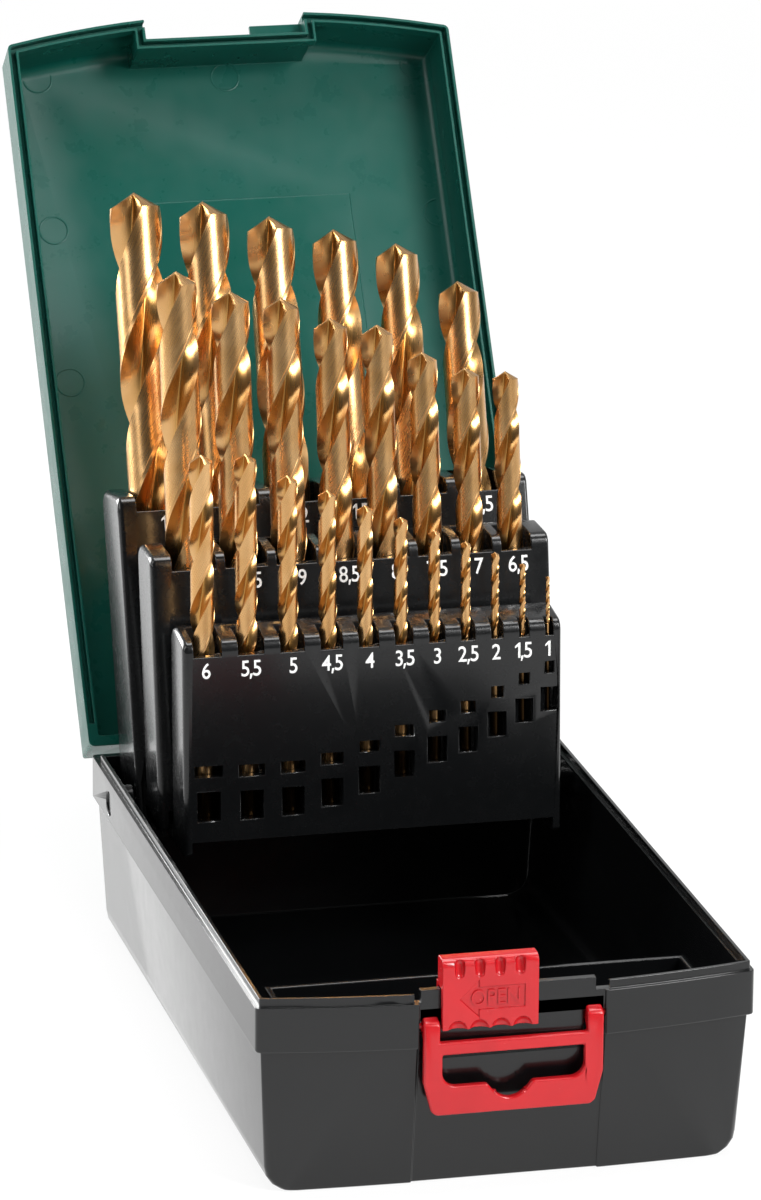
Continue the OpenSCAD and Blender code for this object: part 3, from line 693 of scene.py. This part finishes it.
def size_number(size, form):
    """13, 12,5 and so on: the letters side by side, centred."""
    parts, reach = [], 0.0
    for letter in ("%g" % size).replace(".", ","):
        if letter in "1,":
            at, corner, total = prism(ONE if letter == "1" else COMMA, 1.0)
            at = at * [form.height, form.height, form.ink]
            at[:, 1] -= form.height / 2
        else:
            at, corner, total = lettering(letter, form.height, form.narrow,
                                          form.weight, form.ink)
        space = 0.1 if letter == "," else form.spacing
        at[:, 0] += reach - at[:, 0].min()
        if letter == ",":
            at[:, 0] -= form.spacing - space
        reach = at[:, 0].max() + space
        parts.append((at, corner, total))
    at, corner, total = joined(parts)
    at[:, 0] -= (at[:, 0].min() + at[:, 0].max()) / 2
    return at, corner, total


# ---- settings ---------------------------------------------------------------


class CaseEdges(bpy.types.PropertyGroup):
    """Radii the moulds give the plastic parts' edges."""

    case: bpy.props.FloatProperty(
        name="Case edge", description="Radius of the base's edges in mm",
        default=0.4, min=0.1, max=0.8)
    lid: bpy.props.FloatProperty(
        name="Lid edge", description="Radius of the lid's edges in mm",
        default=0.22, min=0.1, max=0.3)
    rim: bpy.props.FloatProperty(
        name="Rim edge", description="Radius of both rims' edges in mm",
        default=0.15, min=0.05, max=0.25)
    rack_left: bpy.props.FloatProperty(
        name="Rack left end", description="Radius at a rack's left end in mm",
        default=1.5, min=0.5, max=2.0)
    rack_right: bpy.props.FloatProperty(
        name="Rack right end", description="Radius at the right end in mm",
        default=0.75, min=0.3, max=0.8)
    rack_opening: bpy.props.FloatProperty(
        name="Rack opening",
        description="Radius round a rack's slots and windows in mm",
        default=0.3, min=0.1, max=0.5)
    latch: bpy.props.FloatProperty(
        name="Latch edge", description="Radius of the latch's edges in mm",
        default=0.2, min=0.1, max=0.6)
    tab: bpy.props.FloatProperty(
        name="Hang tab edge", description="Radius of the tab's edges in mm",
        default=0.6, min=0.1, max=0.9)


class BitForm(bpy.types.PropertyGroup):
    """How the twist drills are ground."""

    point_angle: bpy.props.FloatProperty(
        name="Point angle", description="Full angle of the point in degrees",
        default=118.0, min=90.0, max=140.0)
    lead: bpy.props.FloatProperty(
        name="Lead", description="Rise of one helix turn, in diameters",
        default=6.0, min=4.0, max=9.0)
    land_angle: bpy.props.FloatProperty(
        name="Land", description="Angle each land takes up, in degrees",
        default=98.0, min=60.0, max=120.0)
    margin_angle: bpy.props.FloatProperty(
        name="Margin", description="Angle of the full-size margin, degrees",
        default=10.0, min=4.0, max=16.0)
    relief: bpy.props.FloatProperty(
        name="Body clearance",
        description="Land set back behind the margin, part of the radius",
        default=0.035, min=0.0, max=0.08)
    web_tip: bpy.props.FloatProperty(
        name="Web at the tip", description="Web half-width, part of radius",
        default=0.17, min=0.1, max=0.4)
    web_shank: bpy.props.FloatProperty(
        name="Web at the shank", description="Web half-width, part of radius",
        default=0.3, min=0.1, max=0.5)
    flute_power: bpy.props.FloatProperty(
        name="Flute fullness", description="Under 1 squares the flute up",
        default=0.75, min=0.5, max=1.5)
    run_out: bpy.props.FloatProperty(
        name="Run-out", description="Length the flutes fade over, diameters",
        default=1.3, min=0.5, max=3.0)
    lip_relief: bpy.props.FloatProperty(
        name="Lip relief", description="Drop of the flank behind each lip",
        default=0.12, min=0.0, max=0.3)
    skew: bpy.props.FloatProperty(
        name="Flute skew", description="Under 1 is deepest near the lip",
        default=0.8, min=0.5, max=1.5)
    lips_at: bpy.props.FloatProperty(
        name="Lips at", description="Direction of the left lip in degrees",
        default=195.0, min=0.0, max=360.0)
    ring_step: bpy.props.FloatProperty(
        name="Ring step", description="Twist between mesh rings in degrees",
        default=7.0, min=4.0, max=20.0)


class PrintForm(bpy.types.PropertyGroup):
    """The size numbers printed on the racks."""

    height: bpy.props.FloatProperty(
        name="Digit height", description="Height of a digit in mm",
        default=3.9, min=2.0, max=6.0)
    narrow: bpy.props.FloatProperty(
        name="Narrowing", description="Width of the digits against the font",
        default=0.86, min=0.5, max=1.0)
    weight: bpy.props.FloatProperty(
        name="Weight", description="How much the strokes are thickened",
        default=0.008, min=0.0, max=0.06)
    drop: bpy.props.FloatProperty(
        name="Drop", description="Digit centre under the front edge in mm",
        default=4.5, min=3.0, max=7.0)
    spacing: bpy.props.FloatProperty(
        name="Spacing", description="Space between two digits in mm",
        default=0.4, min=0.1, max=1.0)
    ink: bpy.props.FloatProperty(
        name="Ink", description="Thickness of the print in mm",
        default=0.03, min=0.01, max=0.1)


class CaseColours(bpy.types.PropertyGroup):
    """Colours of the case and its bits, as sRGB hex."""

    case: bpy.props.StringProperty(
        name="Base", description="Black of the base", default="#0c0d0e")
    rack: bpy.props.StringProperty(
        name="Racks", description="Black of the racks", default="#0e0f10")
    lid: bpy.props.StringProperty(
        name="Lid", description="Green of the lid", default="#0c4a41")
    lid_deep: bpy.props.StringProperty(
        name="Lid, deep", description="Deeper green in the lid's flow marks",
        default="#054236")
    latch: bpy.props.StringProperty(
        name="Latch and tab", description="Red of latch and hang tab",
        default="#b3121a")
    bit: bpy.props.StringProperty(
        name="Bit", description="Light gold of the coat", default="#dcb07a")
    bit_deep: bpy.props.StringProperty(
        name="Bit, deep", description="Deeper gold of the coat",
        default="#cf9f66")
    # Painted shade: a browner gold laid into the flutes
    bit_flute_shade: bpy.props.StringProperty(
        name="Flute", description="Gold inside the flutes",
        default="#b98a4a")


class Studio(bpy.types.PropertyGroup):
    """Light and floor."""

    key: bpy.props.FloatProperty(
        name="Key", description="Power of the front right softbox in watts",
        default=26.0, min=0.0, max=200.0)
    fill: bpy.props.FloatProperty(
        name="Fill", description="Power of the left softbox in watts",
        default=5.0, min=0.0, max=200.0)
    top: bpy.props.FloatProperty(
        name="Top", description="Power of the overhead softbox in watts",
        default=12.0, min=0.0, max=200.0)
    rim: bpy.props.FloatProperty(
        name="Rim", description="Power of the low lamp behind left in watts",
        default=14.0, min=0.0, max=200.0)
    ambient: bpy.props.FloatProperty(
        name="Ambient", description="Level of the room's even light",
        default=0.28, min=0.0, max=1.0)


# ---- operators --------------------------------------------------------------


def ring_mark(x, y):
    """Witness ring of an ejector pin inside the lid, as a flat torus.

    With u round the ring and v round its section the points lie at
    (radius + half width cos v) from the pin's axis and rise sin v off the
    lid's floor.
    """
    u, v = np.meshgrid(np.arange(RING_STEPS) * 2 * math.pi / RING_STEPS,
                       np.arange(SECTION_STEPS) * 2 * math.pi / SECTION_STEPS,
                       indexing="ij")
    out = RING_RADIUS + RING_HALF_WIDTH * np.cos(v)
    floor = BASE_H + LID_H - LID_T
    points = np.stack([x + out * np.cos(u), y + out * np.sin(u),
                       floor - RING_RISE * np.sin(v)], -1)
    return opened(points.reshape(-1, 3))


class CASE_OT_base(bpy.types.Operator):
    """Dress the base with its rim, compartments, rail and hinge barrels"""

    bl_idname = "drill_case.base"
    bl_label = "Base"

    def execute(self, context):
        edges = context.scene.case_edges

        def radius(middle):
            rim = middle[:, 2] > (BASE_H - 0.8) * MM
            return np.where(rim, edges.rim, edges.case)

        moulded("case_base", "base_moulding", "case",
                finish("abs_black_moulded"), radius, segments=2)
        return {"FINISHED"}


class CASE_OT_lid(bpy.types.Operator):
    """Dress the lid and add the marks its mould's pins left inside"""

    bl_idname = "drill_case.lid"
    bl_label = "Lid"

    def execute(self, context):
        edges = context.scene.case_edges
        green = finish("polypropylene_green_moulded")

        def radius(middle):
            rim = shut_height(middle) < BASE_H + 3.0
            return np.where(rim, edges.rim, edges.lid)

        moulded("lid", "lid_moulding", "lid", green,
                radius, segments=2)
        corners, totals = looped(RING_STEPS, SECTION_STEPS)
        marks = [(ring_mark(x, HINGE_Y - reach), corners, totals)
                 for x, reach in EJECTOR_MARKS]
        mesh = mesh_of("lid_ejector_marks", *joined(marks))
        placed("lid_ejector_marks", mesh, "lid", green)
        return {"FINISHED"}


class CASE_OT_racks(bpy.types.Operator):
    """Dress the three racks, with round ends and softened openings"""

    bl_idname = "drill_case.racks"
    bl_label = "Racks"

    def execute(self, context):
        edges = context.scene.case_edges
        for rack, node in enumerate(RACKS):
            half = RACK_W[rack] / 2

            def radius(middle, rack=rack, half=half):
                x, y, z = np.moveaxis(upright(rack, middle), -1, 0)
                left = (x < 0.05 - half) & (z > 6)
                right = (x > half - 0.05) & (z > 6)
                inside = (y > RACK_FRONT[rack] + 0.05) \
                    & (z < RACK_TOP[rack] - 1.3) & (np.abs(x) < half - 2.5)
                return np.select([left, right, inside],
                                 [edges.rack_left, edges.rack_right, 0.0],
                                 edges.rack_opening)

            moulded(node, node + "_moulding", RACK_BODIES[rack],
                    finish("polypropylene_black_moulded"),
                    radius)
        return {"FINISHED"}


class CASE_OT_numbers(bpy.types.Operator):
    """Print each bit's size under its slot on the front of its rack"""

    bl_idname = "drill_case.numbers"
    bl_label = "Size numbers"

    def execute(self, context):
        form = context.scene.case_print
        for rack, node in enumerate(RACKS):
            parts = []
            for size, x in zip(bit_sizes(rack), NUMBER_X[rack]):
                at, corner, total = size_number(size, form)
                level = RACK_TOP[rack] - form.drop
                front = np.stack([at[:, 0] + x, RACK_FRONT[rack] - at[:, 2],
                                  at[:, 1] + level], -1)
                parts.append((raised(rack, front), corner, total))
            mesh = mesh_of(node + "_numbers", *joined(parts))
            placed(node + "_numbers", mesh, RACK_BODIES[rack],
                   finish("ink_white_pad_printed"))
        return {"FINISHED"}


class CASE_OT_bits(bpy.types.Operator):
    """Grind the twenty-five twist drills and stand them in their racks"""

    bl_idname = "drill_case.bits"
    bl_label = "Drill bits"

    def execute(self, context):
        form = context.scene.case_bits
        gold = finish("titanium_nitride_on_steel")
        for rack in range(3):
            for i, size in enumerate(bit_sizes(rack)):
                node = "drill_bit_" + ("%g" % size).replace(".", "_")
                mesh = bit_mesh(node + "_ground", rack, i, form)
                placed(node + "_ground", mesh, RACK_BODIES[rack],
                       gold, (node,))
        return {"FINISHED"}


class CASE_OT_latch(bpy.types.Operator):
    """Dress the latch and raise the word OPEN in its arrow"""

    bl_idname = "drill_case.latch"
    bl_label = "Latch"

    def execute(self, context):
        edge = context.scene.case_edges.latch
        red = finish("abs_red_moulded")
        moulded("latch_slider", "latch_moulding", "latch",
                red, lambda middle: np.full(len(middle), edge))
        at, corner, total = lettering("OPEN", 3.7, 0.86, 0.0, 0.6)
        word = np.stack([at[:, 0] + WORD_X,
                         LATCH_FACE + WORD_SINK - at[:, 2],
                         at[:, 1] + WORD_Z], -1) * MM
        mesh = mesh_of("latch_word", word, corner, total)
        placed("latch_word", mesh, "latch", red)
        return {"FINISHED"}


class CASE_OT_hang_tab(bpy.types.Operator):
    """Dress the hang tab"""

    bl_idname = "drill_case.hang_tab"
    bl_label = "Hang tab"

    def execute(self, context):
        edge = context.scene.case_edges.tab
        moulded("hang_tab", "hang_tab_moulding", "hang_tab",
                finish("abs_red_moulded"),
                lambda middle: np.full(len(middle), edge))
        return {"FINISHED"}


class CASE_OT_pins(bpy.types.Operator):
    """Give the hinge pins drawn steel and the rack pins black plastic"""

    bl_idname = "drill_case.pins"
    bl_label = "Pins"

    def execute(self, context):
        for node, name in (
                ("lid_hinge_pin_left", "steel_wire_drawn"),
                ("lid_hinge_pin_right", "steel_wire_drawn"),
                ("rack_pivot_pin_left", "abs_black_moulded"),
                ("rack_pivot_pin_right", "abs_black_moulded")):
            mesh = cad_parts[node].data
            mesh.materials.clear()
            mesh.materials.append(finish(name))
        return {"FINISHED"}


class CASE_OT_stage(bpy.types.Operator):
    """Lay the floor, hang the lamps and set the camera"""

    bl_idname = "drill_case.stage"
    bl_label = "Stage"

    def execute(self, context):
        studio = context.scene.case_studio
        lay_floor()
        light_room(studio)
        set_camera()
        return {"FINISHED"}


# ---- stage ------------------------------------------------------------------


def seen_directly(tree):
    """1 for camera, mirror and see-through rays, 0 for light that falls."""
    path = add(tree, "ShaderNodeLightPath").outputs
    two = add(tree, "ShaderNodeMath", {"operation": "MAXIMUM"},
              i0=path["Is Camera Ray"], i1=path["Is Glossy Ray"])
    three = add(tree, "ShaderNodeMath", {"operation": "MAXIMUM"},
                i0=two.outputs[0], i1=path["Is Transmission Ray"])
    return three.outputs[0]


def lay_floor():
    """A white paper floor that keeps part of the shadow, whiter far back."""
    half = 5.0
    points = np.array([[-half, -half, 0], [half, -half, 0],
                       [half, half, 0], [-half, half, 0]]) - [0, 0, 0.0001]
    mesh = mesh_of("floor", points, [0, 1, 2, 3], [4])
    paper, tree = blank("paper_white_matt")
    at = add(tree, "ShaderNodeTexCoord").outputs["Object"]
    fibre = add(tree, "ShaderNodeTexNoise", Vector=at, Scale=per(1.2),
                Detail=3.0)
    tone = add(tree, "ShaderNodeMix", {"data_type": "RGBA"},
               i0=fibre.outputs[0], i6=linear("#fbfbfb"),
               i7=linear("#f6f6f6"))
    matt = add(tree, "ShaderNodeBsdfDiffuse", Color=tone.outputs[2])
    lit = add(tree, "ShaderNodeEmission", Color=(1, 1, 1, 1), Strength=1.0)
    depth = add(tree, "ShaderNodeSeparateXYZ", Vector=at).outputs["Y"]
    far = add(tree, "ShaderNodeMapRange", Value=depth, From_Min=0.3,
              From_Max=1.2, To_Min=0.85, To_Max=1.0)
    share = add(tree, "ShaderNodeMath", {"operation": "MULTIPLY"},
                i0=seen_directly(tree), i1=far.outputs[0])
    both = add(tree, "ShaderNodeMixShader", i0=share.outputs[0],
               i1=matt.outputs[0], i2=lit.outputs[0])
    add(tree, "ShaderNodeOutputMaterial", Surface=both.outputs[0])
    mesh.materials.append(paper)
    floor = bpy.data.objects.new("floor", mesh)
    bpy.context.scene.collection.objects.link(floor)


def softbox(name, place, target, width, tall, power):
    """A rectangular area lamp at place, facing target, in metres and watts."""
    lamp = bpy.data.lights.new(name, "AREA")
    lamp.shape = "RECTANGLE"
    lamp.size = width
    lamp.size_y = tall
    lamp.energy = power
    holder = bpy.data.objects.new(name, lamp)
    bpy.context.scene.collection.objects.link(holder)
    away = np.array(place, float) - target
    away /= np.linalg.norm(away)
    side = np.cross([0, 0, 1], away)
    side /= np.linalg.norm(side)
    holder.matrix_world = basis(side, np.cross(away, side), away, place)


def basis(right, up, back, place):
    """A world matrix from three axes and a place."""
    columns = np.stack([right, up, back, place], 1).tolist()
    return Matrix([*columns, [0.0, 0.0, 0.0, 1.0]])


def light_room(studio):
    """Even room light and four softboxes.

    Reflections see a room that is dim in front and brighter behind and to the
    right; the camera sees white.
    """
    world = bpy.data.worlds.new("room")
    world.use_nodes = True
    tree = world.node_tree
    tree.nodes.clear()
    way = add(tree, "ShaderNodeSeparateXYZ",
              Vector=add(tree, "ShaderNodeTexCoord").outputs["Generated"])
    behind = add(tree, "ShaderNodeMapRange",
                 {"interpolation_type": "SMOOTHSTEP"},
                 Value=way.outputs["Y"], From_Min=-0.25, From_Max=0.35,
                 To_Min=0.08, To_Max=0.5)
    aside = add(tree, "ShaderNodeMapRange",
                {"interpolation_type": "SMOOTHSTEP"},
                Value=way.outputs["X"], From_Min=0.05, From_Max=0.4,
                To_Min=0.0, To_Max=0.25)
    seen = add(tree, "ShaderNodeMath", {"operation": "MAXIMUM"},
               i0=behind.outputs[0], i1=aside.outputs[0])
    white = add(tree, "ShaderNodeMath", {"operation": "MAXIMUM"},
                i0=add(tree, "ShaderNodeLightPath").outputs["Is Camera Ray"],
                i1=seen.outputs[0])
    level = add(tree, "ShaderNodeMix", i0=seen_directly(tree),
                i2=studio.ambient, i3=white.outputs[0])
    air = add(tree, "ShaderNodeBackground", Color=(1, 1, 1, 1),
              Strength=level.outputs[0])
    add(tree, "ShaderNodeOutputWorld", Surface=air.outputs[0])
    bpy.context.scene.world = world
    aim = (0.0, 0.0, 0.09)
    softbox("key", (0.75, -0.95, 0.95), aim, 0.5, 0.7, studio.key)
    softbox("fill", (-1.1, -0.25, 0.75), aim, 0.5, 0.9, studio.fill)
    softbox("top", (0.05, 0.15, 1.35), aim, 0.8, 0.6, studio.top)
    softbox("rim", (-0.7, 0.75, 0.3), aim, 0.6, 0.5, studio.rim)


def set_camera():
    """The photograph's viewpoint: 13.8 degrees to the right, 17 down."""
    yaw, pitch, roll = (math.radians(a) for a in (13.794, 16.950, 0.397))
    ahead = np.array([math.sin(yaw) * math.cos(pitch),
                      math.cos(yaw) * math.cos(pitch), -math.sin(pitch)])
    right = np.array([math.cos(yaw), -math.sin(yaw), 0.0])
    up = np.cross(right, ahead)
    turned_right = math.cos(roll) * right + math.sin(roll) * up
    turned_up = -math.sin(roll) * right + math.cos(roll) * up
    lens = bpy.data.cameras.new("camera")
    lens.lens = 209.07
    lens.sensor_width = 36.0
    lens.shift_x = -0.00502
    lens.shift_y = 0.00127
    lens.clip_end = 30.0
    camera = bpy.data.objects.new("camera", lens)
    bpy.context.scene.collection.objects.link(camera)
    camera.matrix_world = basis(turned_right, turned_up, -ahead,
                                (-0.384828, -1.543266, 0.595331))
    bpy.context.scene.camera = camera
    bpy.context.scene.view_settings.view_transform = "Standard"


# ---- panel and registration -------------------------------------------------


class CASE_PT_panel(bpy.types.Panel):
    """Lists the pieces and their settings"""

    bl_idname = "CASE_PT_panel"
    bl_label = "Drill bit case"
    bl_space_type = "VIEW_3D"
    bl_region_type = "UI"
    bl_category = "Drill case"

    def draw(self, context):
        for operator in OPERATORS:
            self.layout.operator(operator.bl_idname)
        for group in SETTINGS:
            owner = getattr(context.scene, group)
            for key in owner.__annotations__:
                self.layout.prop(owner, key)


SETTINGS = {
    "case_edges": CaseEdges,
    "case_bits": BitForm,
    "case_print": PrintForm,
    "case_colours": CaseColours,
    "case_studio": Studio,
}
OPERATORS = (CASE_OT_base, CASE_OT_lid, CASE_OT_racks, CASE_OT_numbers,
             CASE_OT_bits, CASE_OT_latch, CASE_OT_hang_tab, CASE_OT_pins,
             CASE_OT_stage)


def register():
    for made in (*SETTINGS.values(), *OPERATORS, CASE_PT_panel):
        bpy.utils.register_class(made)
    for name, group in SETTINGS.items():
        setattr(bpy.types.Scene, name,
                bpy.props.PointerProperty(type=group))


def unregister():
    for name in SETTINGS:
        delattr(bpy.types.Scene, name)
    for made in (CASE_PT_panel, *OPERATORS, *SETTINGS.values()):
        bpy.utils.unregister_class(made)


def main():
    """Makes every piece and the stage."""
    register()
    bpy.ops.drill_case.base()
    bpy.ops.drill_case.lid()
    bpy.ops.drill_case.racks()
    bpy.ops.drill_case.numbers()
    bpy.ops.drill_case.bits()
    bpy.ops.drill_case.latch()
    bpy.ops.drill_case.hang_tab()
    bpy.ops.drill_case.pins()
    bpy.ops.drill_case.stage()


if __name__ == "__main__":
    main()
